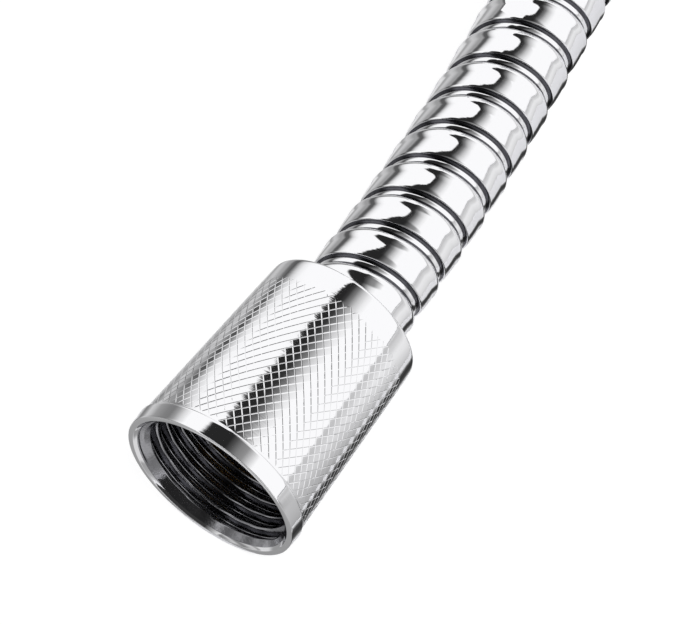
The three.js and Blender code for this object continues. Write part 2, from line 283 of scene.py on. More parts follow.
# %% Ends of the helix, and its mesh
caps = []
for loop, outward in ((number[:FINE_SIDES, 0], -ahead[0]), (far_side[-SIDES:], ahead[-1])):
    cap = np.stack([np.full(len(loop) - 2, loop[0]), loop[1:-1], loop[2:]], 1)
    lie = np.cross(points[cap[:, 1]] - points[cap[:, 0]], points[cap[:, 2]] - points[cap[:, 0]]).sum(0)
    caps.append(cap if lie @ outward > 0 else cap[:, ::-1])
sets = [quads, wide] + caps
used, renumbered = np.unique(np.concatenate([f.ravel() for f in sets]), return_inverse=True)
ends = np.cumsum([f.size for f in sets])[:-1]
sets = [part.reshape(-1, f.shape[1]) for part, f in zip(np.split(renumbered.ravel(), ends), sets)]
# the seam's faces take the second finish, a darker grey that is painted shade in the gap between the turns
slots = np.concatenate([np.isin(row_of, shaded_seam_rows).astype(int), np.zeros(sum(len(f) for f in sets[1:]), int)])
hose = make_mesh("stripwound_hose", points[used], sets, slots)
straight = hose.data.attributes.new("straight", "FLOAT_VECTOR", "POINT")
straight.data.foreach_set("vector", (unrolled[used] * MM).astype(np.float32).ravel())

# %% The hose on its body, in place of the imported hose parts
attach(hose, "hose")
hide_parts("hose_run", "hose_coil", "hose_tail")

# %% [markdown]
# ## Turned pieces
# Nuts, ferrules, washers, rings and spigots come off a lathe, so each is a closed profile of radius and distance,
# carried round an axis. A real edge is never quite sharp, and the thin line of light along it is what makes a piece
# look solid, so each corner of a profile is cut back and bridged by a short curve.

# %% Profiles and the lathe
# gaps between the pieces, then the spigot's stem and barb, the inner hose's wall and the ferrule's
FACE_GAP, CRIMP_GAP, RUNNING_GAP, EDGE = 0.3, 0.2, 0.35, 0.2
STEM, BARB, LINER, WALL = 4.7, 0.45, 1.1, 0.7
LINER_INNER = STEM + BARB + CRIMP_GAP
FERRULE_INNER = LINER_INNER + LINER + CRIMP_GAP
FERRULE_OUTER = FERRULE_INNER + WALL
HOLE = FERRULE_OUTER + RUNNING_GAP
HEX_FERRULE_END = 23.8
CONE_CENTRE = (0.0, -NUT_LENGTH / 2, CONE_AXIS)
HEX_CENTRE = (tail_x, coil_y - tail_length - FACE_GAP - HEX_FERRULE_END, HEX_AXIS)


def soften(profile, cut, steps=3):
    """Replaces each corner by a curve that starts and ends up to `cut` away from it, or a third of the side."""
    corner = np.asarray(profile, float)
    to_last, to_next = np.roll(corner, 1, 0) - corner, np.roll(corner, -1, 0) - corner
    far_last, far_next = np.linalg.norm(to_last, axis=1), np.linalg.norm(to_next, axis=1)
    start = corner + to_last * (np.minimum(cut, far_last / 3) / far_last)[:, None]
    end = corner + to_next * (np.minimum(cut, far_next / 3) / far_next)[:, None]
    u = np.linspace(0, 1, steps)[None, :, None]
    return ((1 - u) ** 2 * start[:, None] + 2 * u * (1 - u) * corner[:, None] + u**2 * end[:, None]).reshape(-1, 2)


def around(radius, along, centre, angles):
    """Points at the given radius and distance behind the mouth, at angles measured from straight up to the right."""
    x = centre[0] + radius * np.sin(angles)
    y = centre[1] + along + 0 * angles
    z = centre[2] + radius * np.cos(angles)
    return np.stack(np.broadcast_arrays(x, y, z), -1)


def grid_faces(columns, rows, shift=0):
    """Quads of a grid that closes on itself both ways, its last row joined to the first one `shift` columns on."""
    i, j = np.meshgrid(np.arange(columns), np.arange(rows), indexing="ij")
    k, m, ahead = (i + 1) % columns, (j + 1) % rows, np.where(j == rows - 1, shift, 0)
    return np.stack([i * rows + j, k * rows + j, (k + ahead) % columns * rows + m, (i + ahead) % columns * rows + m],
                    -1)


def lathe(name, profile, centre, columns=96):
    """A closed profile of (radius, distance) carried round the axis through the centre."""
    profile = np.asarray(profile)
    angles = np.linspace(0, 2 * np.pi, columns, endpoint=False)[:, None]
    points = around(profile[None, :, 0], profile[None, :, 1], centre, angles).reshape(-1, 3)
    made = make_mesh(name, points, [grid_faces(columns, len(profile)).reshape(-1, 4)])
    even_light(made)
    return made


def even_light(piece):
    """Lets the broad faces decide the shading, so that flats stay flat and only the edges catch light."""
    weighted = piece.modifiers.new("broad faces", "WEIGHTED_NORMAL")
    weighted.weight = 80
    weighted.keep_sharp = True


# %% [markdown]
# ## The conical nut
# It is turned from brass, knurled, threaded and then plated. The knurl is rolled: two sets of fine grooves that cross,
# 58 each way. A bump map would do from afar, but a groove that bends the reflection needs a real slope, so they are in
# the mesh. The grid's lines are the grooves themselves: each groove is three lines close together, its bottom and its
# two edges, and a fourth runs halfway to the next. Line a of the one set and line b of the other cross at (a + b) / 2
# round the nut and (b - a) / 2 along it. The edges along the grooves are marked sharp, so that each diamond between
# them keeps its own reflection.
# The thread is the half inch pipe thread, 1.814 mm a turn and right-handed, a groove with sloped flanks between a flat
# crest and a flat root. A point of the bore takes whichever is wider, the plain bore or the thread.

# %% Bore and thread of both nuts
THREAD_MAJOR, THREAD_MINOR, THREAD_PITCH = 20.955 / 2, 18.631 / 2, 1.814
THREAD_CREST, THREAD_FLANK, THREAD_START, FADE_FRONT, FADE_BACK, ROW_STEP = 0.28, 0.46, 0.2, 0.5, 0.9, 0.1
MOUTH_BORE, CHAMFER_BORE, CHAMFER_END, RELIEF_DEPTH = 10.73, 10.5, 1.7, 0.3
CONE_SEAL, HEX_SEAL = 11.0, 8.2
WASHER_THICK, FLANGE_THICK, SLEEVE_LENGTH, RING_THICK = 2.0, 1.8, 11.2, 1.2
Stack = namedtuple("Stack", "washer_back flange flange_back sleeve sleeve_back ring_back")


def stack(seal):
    """Distances behind the mouth of what a nut holds. The sleeve is the ferrule's, and the ring starts with it."""
    washer_back = seal + WASHER_THICK
    flange = washer_back + FACE_GAP
    flange_back = flange + FLANGE_THICK
    sleeve = flange_back + FACE_GAP
    return Stack(washer_back, flange, flange_back, sleeve, sleeve + SLEEVE_LENGTH, sleeve + RING_THICK)


def bore_radius(along, angles, seal):
    """The nut's bore with its thread, a flat-bottomed groove that advances one pitch a turn between plain ends."""
    lead_in = np.interp(along, [0, THREAD_START, CHAMFER_END], [MOUTH_BORE, CHAMFER_BORE, THREAD_MINOR])
    relief = np.interp(along, [seal - 0.8, seal - 0.4], [THREAD_MINOR, THREAD_MINOR + RELIEF_DEPTH])
    phase = (along / THREAD_PITCH - angles / (2 * np.pi)) % 1
    depth = np.clip((1 - np.abs(2 * phase - 1) - THREAD_CREST) / THREAD_FLANK, 0, 1)
    fade = ease((along - THREAD_START) / FADE_FRONT) * ease((seal - 0.5 - along) / FADE_BACK)
    thread = THREAD_MINOR + (THREAD_MAJOR - THREAD_MINOR) * depth * fade
    return np.maximum(np.maximum(lead_in, relief), thread)


def nut_inside(length, seal):
    """Rows of the inside from the back hole to the mouth, as plain rows and as rows that the thread shapes."""
    shoulder = stack(seal).ring_back + FACE_GAP
    back = [[HOLE + 0.25, length], [HOLE + 0.05, length - 0.08], [HOLE, length - 0.3], [HOLE, shoulder + 0.15],
            [HOLE + 0.15, shoulder], [9.3, shoulder], [9.6, shoulder - 0.2], [9.615, seal - 0.2]]
    return np.array(back), np.arange(seal - 0.3, THREAD_START, -ROW_STEP)


# %% Outside of the conical nut
GROOVES, CROSSINGS, GROOVE_LENGTH, GROOVE_DEPTH = 58, 15, 1.463, 0.025
KNURL_START, GROOVE_LINES = 2.45, np.array([0, 0.075, 0.5, 0.925])
LINES, MIDDLE_LINE, FADE_IN, FADE_OUT = 4, 2, 0.4, 0.9


def groove_line(k):
    """Place of the k-th grid line, in groove spacings."""
    return k // LINES + GROOVE_LINES[k % LINES]


def cone_radius(along):
    """The knurled cone before the knurl, narrowing evenly to the back."""
    return np.interp(along, [KNURL_START, NUT_LENGTH], [11.37, 10.2])


def cone_outside():
    """Rows in front of the knurl and behind it: rounded lip and plain band, then plain cone and rounded back edge."""
    turnover = np.radians(np.linspace(0, 90, 6))
    front = [[10.76, 0.03], [10.82, 0.0], [11.40, 0.0], [11.46, 0.02], [11.50, 0.08], [11.51, 0.25], [11.60, 1.9],
             [11.60, 2.10], [11.56, 2.22], [11.42, 2.28], [11.37, 2.36]]
    plain = [[along, cone_radius(along)] for along in (24.48, 25.0, 26.6)]
    edge = np.stack([9.7 + 0.5 * np.cos(turnover), NUT_LENGTH - 0.5 + 0.5 * np.sin(turnover)], 1)
    return np.array(front), np.concatenate([np.array(plain)[:, ::-1], [[10.215, 27.0]], edge])


# %% The knurl's points
columns = LINES * GROOVES
knurl_rows = 2 * LINES * CROSSINGS + 1
k, m = np.meshgrid(np.arange(columns), np.arange(knurl_rows), indexing="ij")
line_a, line_b = groove_line(k), groove_line(k + m)
knurl_turns = (line_a + line_b) / 2 / GROOVES
knurl_along = KNURL_START + (line_b - line_a) / 2 * GROOVE_LENGTH
knurl_end = KNURL_START + CROSSINGS * GROOVE_LENGTH
in_groove = (k % LINES == 0) | ((k + m) % LINES == 0)
fade = ease((knurl_along - KNURL_START) / FADE_IN) * ease((knurl_end - knurl_along) / FADE_OUT)
knurl_radius = cone_radius(knurl_along) - GROOVE_DEPTH * fade * in_groove
print("knurl:", columns, "lines round the nut,", knurl_rows, "rows along it")

# %% The conical nut's points
front, tail = cone_outside()
back, bore = nut_inside(NUT_LENGTH, CONE_SEAL)
even_turns = np.arange(columns)[:, None] / columns
late_turns = even_turns + CROSSINGS / GROOVES
behind = np.concatenate([tail, back])
blocks = [
    (np.broadcast_to(front[:, 0], (columns, len(front))), front[:, 1], even_turns),
    (knurl_radius, knurl_along, knurl_turns),
    (np.broadcast_to(behind[:, 0], (columns, len(behind))), behind[:, 1], late_turns),
    (bore_radius(bore[None, :], 2 * np.pi * late_turns, CONE_SEAL), bore, late_turns),
    (np.full((columns, 1), MOUTH_BORE), np.array([0.10]), late_turns),
]
radii = np.concatenate([radius for radius, _, _ in blocks], 1)
depths = np.concatenate([np.broadcast_to(along, radius.shape) for radius, along, _ in blocks], 1)
turns_round = np.concatenate([np.broadcast_to(turns, radius.shape) for radius, _, turns in blocks], 1)
points = around(radii, depths, CONE_CENTRE, 2 * np.pi * turns_round).reshape(-1, 3)
row_count = radii.shape[1]
print("conical nut:", columns, "columns of", row_count, "points")

# %% The conical nut's mesh
HOLE_EDGE_ROWS, LIP_ROWS = 2, 2  # at the edge of the back hole and at the lip, which keep the chrome: the bore's painted shade starts behind them
cells = grid_faces(columns, row_count, LINES * CROSSINGS)
first, last = len(front), len(front) + knurl_rows - 1
knurled = cells[:, first:last]
triangles = np.concatenate([knurled[..., [0, 1, 3]].reshape(-1, 3), knurled[..., [1, 2, 3]].reshape(-1, 3)])
plain_cells = np.concatenate([cells[:, :first], cells[:, last:]], 1)
row_numbers = np.concatenate([np.arange(first), np.arange(last, row_count)])
first_bore = last + 1 + len(tail) + HOLE_EDGE_ROWS
in_bore = (row_numbers >= first_bore) & (row_numbers < row_count - LIP_ROWS)
slots = np.concatenate([np.zeros(len(triangles), int),
                        np.broadcast_to(in_bore, plain_cells.shape[:2]).reshape(-1).astype(int)])
cone_nut = make_mesh("conical_nut", points, [triangles, plain_cells.reshape(-1, 4)], slots)
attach(cone_nut, "cone_nut_body")
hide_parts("cone_nut")

# %% Sharp edges along the grooves
mesh = cone_nut.data
ends = np.empty(2 * len(mesh.edges), np.int32)
mesh.edges.foreach_get("vertices", ends)
set_a, row = np.divmod(ends.reshape(-1, 2), row_count)
set_b = set_a + row - first
in_knurl = ((row >= first) & (row <= last)).all(1)
on_a = (set_a[:, 0] == set_a[:, 1]) & (set_a[:, 0] % LINES != MIDDLE_LINE)
on_b = ((set_b[:, 0] - set_b[:, 1]) % columns == 0) & (set_b[:, 0] % LINES != MIDDLE_LINE)
sharp = in_knurl & (on_a | on_b)
mesh.attributes.new("sharp_edge", "BOOLEAN", "EDGE").data.foreach_set("value", sharp)
print("sharp edges in the knurl:", int(sharp.sum()))

# %% [markdown]
# ## The hexagonal nut
# It is milled from bar: six flats, and both ends turned off to a cone, which leaves the arcs where the flats begin.
# The rows of its grid follow those arcs, because a row at a fixed height would cut across them in steps: at each angle
# the flat begins where the cone reaches the hexagon's radius.

# %% The hexagonal nut's outside
HEX_FLAT, HEX_LENGTH, HEX_CHAMFER, CORNER_CUT = 12.0, 16.6, 0.6, 0.12
columns = 288
angles = np.linspace(0, 2 * np.pi, columns, endpoint=False)[:, None]
to_flat = (angles + np.pi / 6) % (np.pi / 3) - np.pi / 6
hexagon = HEX_FLAT / np.cos(to_flat)
corner = HEX_FLAT / np.cos(np.pi / 6)
hexagon = np.minimum(hexagon, corner - CORNER_CUT)
face = HEX_FLAT - HEX_CHAMFER
rise = (hexagon - face) * np.tan(np.pi / 6)
share = np.array([0.0, 0.5, 0.97])[None, :]
front_r, front_y = face + (hexagon - face) * share, rise * share
flat_y = np.concatenate([rise + 0.04, rise + 0.3, 0 * rise + HEX_LENGTH / 2, HEX_LENGTH - rise - 0.3,
                         HEX_LENGTH - rise - 0.04], 1)
flat_r = np.broadcast_to(hexagon, flat_y.shape)
print("hexagonal nut:", 2 * HEX_FLAT, "mm across its flats and", round(2 * corner, 2), "mm across its corners")

# %% The hexagonal nut's mesh
back, bore = nut_inside(HEX_LENGTH, HEX_SEAL)
radii = np.concatenate([
    np.full((columns, 1), 10.9), front_r, flat_r, front_r[:, ::-1],
    np.broadcast_to(back[:, 0], (columns, len(back))), bore_radius(bore[None, :], angles, HEX_SEAL),
    np.full((columns, 1), MOUTH_BORE)], 1)
depths = np.concatenate([
    np.zeros((columns, 1)), front_y, flat_y, HEX_LENGTH - front_y[:, ::-1],
    np.broadcast_to(back[:, 1], (columns, len(back))), np.broadcast_to(bore, (columns, len(bore))),
    np.full((columns, 1), 0.12)], 1)
points = around(radii, depths, HEX_CENTRE, angles).reshape(-1, 3)
cells = grid_faces(columns, depths.shape[1])
row_numbers = np.arange(depths.shape[1])
first_bore = 1 + 2 * front_r.shape[1] + flat_r.shape[1] + HOLE_EDGE_ROWS
in_bore = (row_numbers >= first_bore) & (row_numbers < len(row_numbers) - LIP_ROWS)
slots = np.broadcast_to(in_bore, cells.shape[:2]).reshape(-1).astype(int)
hex_nut = make_mesh("hexagonal_nut", points, [cells.reshape(-1, 4)], slots)
even_light(hex_nut)
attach(hex_nut, "hex_nut_body")
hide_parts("hex_nut")

# %% [markdown]
# ## What the nuts hold
# Inside each nut, from its mouth: a rubber washer, the spigot's flange, a nylon ring that the nut's shoulder bears on,
# and the ferrule that squeezes the inner hose onto the spigot's barbs. Both ends are the same, apart from the distance
# of the washer from the mouth.

# %% Profiles of the held pieces
WASHER_INNER, WASHER_OUTER, FLANGE_RADIUS = 5.6, 9.1, 8.9
SPIGOT_BORE, SPIGOT_RIM, FACE_GROOVE, GROOVE_CUT = 3.8, 4.6, 0.6, 0.25
BARBS, BARB_STEP, BARB_FLAT, BARB_FOOT, BARB_END = 3, 2.6, 0.2, 2.4, 0.8
LINER_START, CRIMP_DEPTH, LIP_THICK = 1.2, 0.3, 1.0


def washer_profile(seal):
    """A flat ring."""
    back = stack(seal).washer_back
    return [[WASHER_INNER, seal], [WASHER_OUTER, seal], [WASHER_OUTER, back], [WASHER_INNER, back]]


def ring_profile(seal):
    """The slip ring behind the flange."""
    at = stack(seal)
    return [[HOLE, at.sleeve], [FLANGE_RADIUS, at.sleeve], [FLANGE_RADIUS, at.ring_back], [HOLE, at.ring_back]]


def spigot_profile(seal):
    """A flange with a fine groove in its face, then a stem with three saw-tooth barbs."""
    face, back = stack(seal).flange, stack(seal).flange_back
    groove, floor = SPIGOT_RIM + FACE_GROOVE, face + GROOVE_CUT
    first = back + BARB_STEP
    starts = [first + BARB_STEP * n for n in range(BARBS)]
    barbs = [[[STEM, s], [STEM + BARB, s], [STEM + BARB, s + BARB_FLAT], [STEM, s + BARB_FOOT]] for s in starts]
    end = first + BARBS * BARB_STEP + BARB_END
    return np.concatenate([
        [[SPIGOT_BORE, face], [SPIGOT_RIM, face], [SPIGOT_RIM, floor], [groove, floor], [groove, face],
         [FLANGE_RADIUS, face], [FLANGE_RADIUS, back], [STEM, back]],
        *barbs, [[STEM, end], [SPIGOT_BORE, end]]])


def liner_profile(seal):
    """The end of the inner hose."""
    front, back = stack(seal).sleeve + LINER_START, stack(seal).sleeve_back - EDGE
    return [[LINER_INNER, front], [LINER_INNER + LINER, front], [LINER_INNER + LINER, back], [LINER_INNER, back]]


def ferrule_profile(seal):
    """A drawn sleeve: a lip behind the flange, two crimped grooves and a mouth that narrows onto the hose."""
    front, back = stack(seal).sleeve, stack(seal).sleeve_back
    crimped = FERRULE_OUTER - CRIMP_DEPTH
    crimps = [[[FERRULE_OUTER, s], [crimped, s + 0.53], [crimped, s + 1.07], [FERRULE_OUTER, s + 1.6]]
              for s in (front + 2.6, front + 6.2)]
    return np.concatenate([
        [[STEM + CRIMP_GAP, front], [FERRULE_OUTER, front]], *crimps,
        [[FERRULE_OUTER, back - 2.5], [FERRULE_OUTER - 0.12, back - 1.25], [FERRULE_OUTER - 0.35, back],
         [FERRULE_INNER, back], [FERRULE_INNER, front + LIP_THICK], [STEM + CRIMP_GAP, front + LIP_THICK]]])


# %% The held pieces of both ends
held = [("washer", washer_profile, "washer_rubber", 0.2), ("slip_ring", ring_profile, "slip_ring_nylon", 0.2),
        ("spigot", spigot_profile, "spigot_brass", 0.1), ("inner_hose_end", liner_profile, "inner_hose_rubber", 0.1),
        ("ferrule", ferrule_profile, "ferrule_steel", 0.25)]
turned = {}
for prefix, centre, seal in (("cone", CONE_CENTRE, CONE_SEAL), ("hex", HEX_CENTRE, HEX_SEAL)):
    for name, profile, slot, cut in held:
        piece = lathe(prefix + "_turned_" + name, soften(profile(seal), cut), centre)
        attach(piece, prefix + "_ring" if name == "slip_ring" else "hose")
        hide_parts(prefix + "_" + name)
        turned[prefix, name] = piece

# %% [markdown]
# ## Finishes
# Colours are written as they look on a screen, as hex values, and Blender works in linear light, so one function turns
# the one into the other. One more adds a node and fills its sockets. Patterns are sized from real millimetres: a
# noise of scale 1000 on Object coordinates has features of about one millimetre, because the objects are in metres.

# %% Material helpers
MIX_SHARE, MIX_FIRST, MIX_SECOND, MIX_COLOUR = 0, 6, 7, 2  # sockets of a mix node that are only unique by number
NOISE_LOW, NOISE_HIGH = 0.3, 0.7  # most of a noise's values lie between these
BUMP_HEIGHT = 0.1 * MM


def linear(hex_colour):
    """An sRGB hex colour as linear red, green, blue and alpha."""
    srgb = np.array([int(hex_colour[i:i + 2], 16) for i in (1, 3, 5)]) / 255
    light = np.where(srgb <= 0.04045, srgb / 12.92, ((srgb + 0.055) / 1.055) ** 2.4)
    return (*light, 1.0)


def add_node(tree, kind, inputs=None, **settings):
    """Adds one node, sets its properties, and fills its sockets with values or links."""
    made = tree.nodes.new(kind)
    for name, value in settings.items():
        setattr(made, name, value)
    for name, value in (inputs or {}).items():
        if isinstance(value, bpy.types.NodeSocket):
            tree.links.new(value, made.inputs[name])
        else:
            made.inputs[name].default_value = value
    return made


def new_material(name):
    """An empty material and its node tree."""
    made = bpy.data.materials.new(name)
    made.use_nodes = True
    made.node_tree.nodes.clear()
    return made, made.node_tree


# %% [markdown]
# ### Chrome plate
# Decorative chrome on polished nickel on brass: nearly a mirror, with a faintly cool white. What keeps it from
# looking computed is a trace of polishing haze, so a soft noise of a few millimetres moves the roughness a little.
# Under the plate the lathe's rings still show faintly: noise squeezed to 0.4 mm along the axis bends the reflections.

# %% Chrome plate
chrome, tree = new_material("chrome_plate_polished")
where = add_node(tree, "ShaderNodeTexCoord").outputs["Object"]
haze = add_node(tree, "ShaderNodeTexNoise", {"Vector": where, "Scale": 300.0, "Detail": 3.0})
rough = add_node(tree, "ShaderNodeMapRange", {"Value": haze.outputs[0], "From Min": NOISE_LOW, "From Max": NOISE_HIGH,
                                              "To Min": 0.035, "To Max": 0.07})
squeezed = add_node(tree, "ShaderNodeMapping", {"Vector": where, "Scale": (250.0, 2500.0, 250.0)})
rings = add_node(tree, "ShaderNodeTexNoise", {"Vector": squeezed.outputs[0], "Scale": 1.0, "Detail": 2.0})
bump = add_node(tree, "ShaderNodeBump", {"Height": rings.outputs[0], "Strength": 0.05, "Distance": BUMP_HEIGHT})
shader = add_node(tree, "ShaderNodeBsdfPrincipled", {
    "Base Color": linear("#FAFAFC"), "Metallic": 1.0, "Roughness": rough.outputs[0], "Normal": bump.outputs[0]})
add_node(tree, "ShaderNodeOutputMaterial", {"Surface": shader.outputs[0]})

# %% [markdown]
# ### Plated thread
# The thread is duller than the chrome, and its darker grey is painted shade for the deep inside of the bore,
# with the fine scratches of the tap that cut it.

# %% Thread bore
bore_shade_finish, tree = new_material("thread_nickel_painted_shade")
where = add_node(tree, "ShaderNodeTexCoord").outputs["Object"]
marks = add_node(tree, "ShaderNodeTexNoise", {"Vector": where, "Scale": 2500.0, "Detail": 4.0})
# the darker greys are painted shade for the inside of the bore, mixed by the tap's marks
tone = add_node(tree, "ShaderNodeMix", {MIX_SHARE: marks.outputs[0], MIX_FIRST: linear("#98989C"),
                                        MIX_SECOND: linear("#BCBCC0")}, data_type="RGBA")
bump = add_node(tree, "ShaderNodeBump", {"Height": marks.outputs[0], "Strength": 0.15, "Distance": BUMP_HEIGHT})
shader = add_node(tree, "ShaderNodeBsdfPrincipled", {
    "Base Color": tone.outputs[MIX_COLOUR], "Metallic": 1.0, "Roughness": 0.12, "Normal": bump.outputs[0]})
add_node(tree, "ShaderNodeOutputMaterial", {"Surface": shader.outputs[0]})

# %% [markdown]
# ### Sheath and its seam
# The strip is stainless steel, polished after winding: as bright as the chrome, with faint lines along the strip from
# the rolls, which follow it through the attribute made with the mesh, and a slight unevenness of a few millimetres.
# In the seam between the turns the steel is painted a darker, mottled grey: painted shade for the narrow gap.

# %% Sheath steel
sheath, tree = new_material("stainless_strip_polished")
where = add_node(tree, "ShaderNodeTexCoord").outputs["Object"]
haze = add_node(tree, "ShaderNodeTexNoise", {"Vector": where, "Scale": 420.0, "Detail": 3.0})
rough = add_node(tree, "ShaderNodeMapRange", {"Value": haze.outputs[0], "From Min": NOISE_LOW, "From Max": NOISE_HIGH,
                                              "To Min": 0.04, "To Max": 0.085})
straight = add_node(tree, "ShaderNodeAttribute", attribute_name="straight").outputs["Vector"]
squeezed = add_node(tree, "ShaderNodeMapping", {"Vector": straight, "Scale": (180.0, 1500.0, 180.0)})
lines = add_node(tree, "ShaderNodeTexNoise", {"Vector": squeezed.outputs[0], "Scale": 1.0, "Detail": 2.0})
waves = add_node(tree, "ShaderNodeTexNoise", {"Vector": straight, "Scale": 350.0, "Detail": 2.0})
bump = add_node(tree, "ShaderNodeBump", {"Height": waves.outputs[0], "Strength": 0.1, "Distance": BUMP_HEIGHT})
bump = add_node(tree, "ShaderNodeBump", {"Height": lines.outputs[0], "Normal": bump.outputs[0], "Strength": 0.08,
                                         "Distance": BUMP_HEIGHT})
shader = add_node(tree, "ShaderNodeBsdfPrincipled", {
    "Base Color": linear("#FAFAFC"), "Metallic": 1.0, "Roughness": rough.outputs[0], "Normal": bump.outputs[0]})
add_node(tree, "ShaderNodeOutputMaterial", {"Surface": shader.outputs[0]})

# %% Seam between the turns, its darker grey painted shade
seam, tree = new_material("steel_seam_painted_shade")
where = add_node(tree, "ShaderNodeTexCoord").outputs["Object"]
seam_shade_mottle = add_node(tree, "ShaderNodeTexNoise", {"Vector": where, "Scale": 1500.0, "Detail": 3.0})
# two darker greys, mixed at random: painted shade for the gap between the turns
tone = add_node(tree, "ShaderNodeMix", {MIX_SHARE: seam_shade_mottle.outputs[0], MIX_FIRST: linear("#46464B"),
                                        MIX_SECOND: linear("#6A6A70")}, data_type="RGBA")
shader = add_node(tree, "ShaderNodeBsdfPrincipled", {
    "Base Color": tone.outputs[MIX_COLOUR], "Metallic": 1.0, "Roughness": 0.2})
add_node(tree, "ShaderNodeOutputMaterial", {"Surface": shader.outputs[0]})

# %% [markdown]
# ### Ferrule steel, brass, rubber and nylon
# The ferrule is drawn from stainless tube, which leaves fine lines along its axis: noise squeezed across the axis does
# that. The spigot is turned brass, and the tool leaves rings a fifth of a millimetre apart. The washer and the inner
# hose are matt black rubber with a fine grain. The slip ring is milky nylon, which lets a little light in.

# %% Ferrule steel
drawn, tree = new_material("stainless_tube_drawn")
where = add_node(tree, "ShaderNodeTexCoord").outputs["Object"]
squeezed = add_node(tree, "ShaderNodeMapping", {"Vector": where, "Scale": (4000.0, 150.0, 4000.0)})
lines = add_node(tree, "ShaderNodeTexNoise", {"Vector": squeezed.outputs[0], "Scale": 1.0, "Detail": 3.0})
rough = add_node(tree, "ShaderNodeMapRange", {"Value": lines.outputs[0], "From Min": NOISE_LOW, "From Max": NOISE_HIGH,
                                              "To Min": 0.12, "To Max": 0.26})
bump = add_node(tree, "ShaderNodeBump", {"Height": lines.outputs[0], "Strength": 0.12, "Distance": BUMP_HEIGHT})
shader = add_node(tree, "ShaderNodeBsdfPrincipled", {
    "Base Color": linear("#DCDCE0"), "Metallic": 1.0, "Roughness": rough.outputs[0], "Normal": bump.outputs[0]})
add_node(tree, "ShaderNodeOutputMaterial", {"Surface": shader.outputs[0]})

# %% Turned brass
brass, tree = new_material("brass_turned")
where = add_node(tree, "ShaderNodeTexCoord").outputs["Object"]
feed = add_node(tree, "ShaderNodeTexWave", {"Vector": where, "Scale": 800.0, "Distortion": 0.6, "Detail": 2.0},
                bands_direction="Y")
tarnish = add_node(tree, "ShaderNodeTexNoise", {"Vector": where, "Scale": 350.0, "Detail": 4.0})
tone = add_node(tree, "ShaderNodeMix", {MIX_SHARE: tarnish.outputs[0], MIX_FIRST: linear("#B98F45"),
                                        MIX_SECOND: linear("#D9B56A")}, data_type="RGBA")
bump = add_node(tree, "ShaderNodeBump", {"Height": feed.outputs[0], "Strength": 0.2, "Distance": BUMP_HEIGHT})
shader = add_node(tree, "ShaderNodeBsdfPrincipled", {
    "Base Color": tone.outputs[MIX_COLOUR], "Metallic": 1.0, "Roughness": 0.24, "Normal": bump.outputs[0]})
add_node(tree, "ShaderNodeOutputMaterial", {"Surface": shader.outputs[0]})

# %% Black rubber
rubber, tree = new_material("rubber_moulded_black")
where = add_node(tree, "ShaderNodeTexCoord").outputs["Object"]
grain = add_node(tree, "ShaderNodeTexNoise", {"Vector": where, "Scale": 3000.0, "Detail": 4.0})
tone = add_node(tree, "ShaderNodeMix", {MIX_SHARE: grain.outputs[0], MIX_FIRST: linear("#151517"),
                                        MIX_SECOND: linear("#27272A")}, data_type="RGBA")
bump = add_node(tree, "ShaderNodeBump", {"Height": grain.outputs[0], "Strength": 0.3, "Distance": BUMP_HEIGHT})
shader = add_node(tree, "ShaderNodeBsdfPrincipled", {
    "Base Color": tone.outputs[MIX_COLOUR], "Roughness": 0.62, "Normal": bump.outputs[0]})
add_node(tree, "ShaderNodeOutputMaterial", {"Surface": shader.outputs[0]})

# %% Milky nylon
nylon, tree = new_material("nylon_moulded_natural")
where = add_node(tree, "ShaderNodeTexCoord").outputs["Object"]
flow = add_node(tree, "ShaderNodeTexNoise", {"Vector": where, "Scale": 260.0, "Detail": 3.0})
tone = add_node(tree, "ShaderNodeMix", {MIX_SHARE: flow.outputs[0], MIX_FIRST: linear("#DDDAD0"),
                                        MIX_SECOND: linear("#EFEDE6")}, data_type="RGBA")
shader = add_node(tree, "ShaderNodeBsdfPrincipled", {
    "Base Color": tone.outputs[MIX_COLOUR], "Roughness": 0.42, "Subsurface Weight": 0.25, "Subsurface Scale": MM})
add_node(tree, "ShaderNodeOutputMaterial", {"Surface": shader.outputs[0]})

# %% Each piece takes its finish
for piece, finishes in ((hose, (sheath, seam)), (cone_nut, (chrome, bore_shade_finish)), (hex_nut, (chrome, bore_shade_finish))):
    for finish in finishes:
        piece.data.materials.append(finish)
of_kind = {"washer": rubber, "slip_ring": nylon, "spigot": brass, "inner_hose_end": rubber, "ferrule": drawn}
for (prefix, name), piece in turned.items():
    piece.data.materials.append(of_kind[name])
print("materials:", sorted(m.name for m in bpy.data.materials))

# %% [markdown]
# ## The studio
# Chrome shows the room and not its own colour, so the room is the lighting. It is white all round, with a pale floor.
# The floor glows a little for the camera alone, so that it is as white as the background of a product picture and the
# shadow on it stays faint. The room lights matt surfaces with less than half of what mirrors see of it.

# %% Floor
FLOOR_REACH, GLOW, GLOW_SHARE = 6, 1.12, 0.8


def stage_mesh(name, points, faces):
    """A piece of the studio, from points in metres."""
    mesh = bpy.data.meshes.new(name)
    mesh.from_pydata(points, [], faces)
    made = bpy.data.objects.new(name, mesh)
    bpy.context.scene.collection.objects.link(made)
    return made


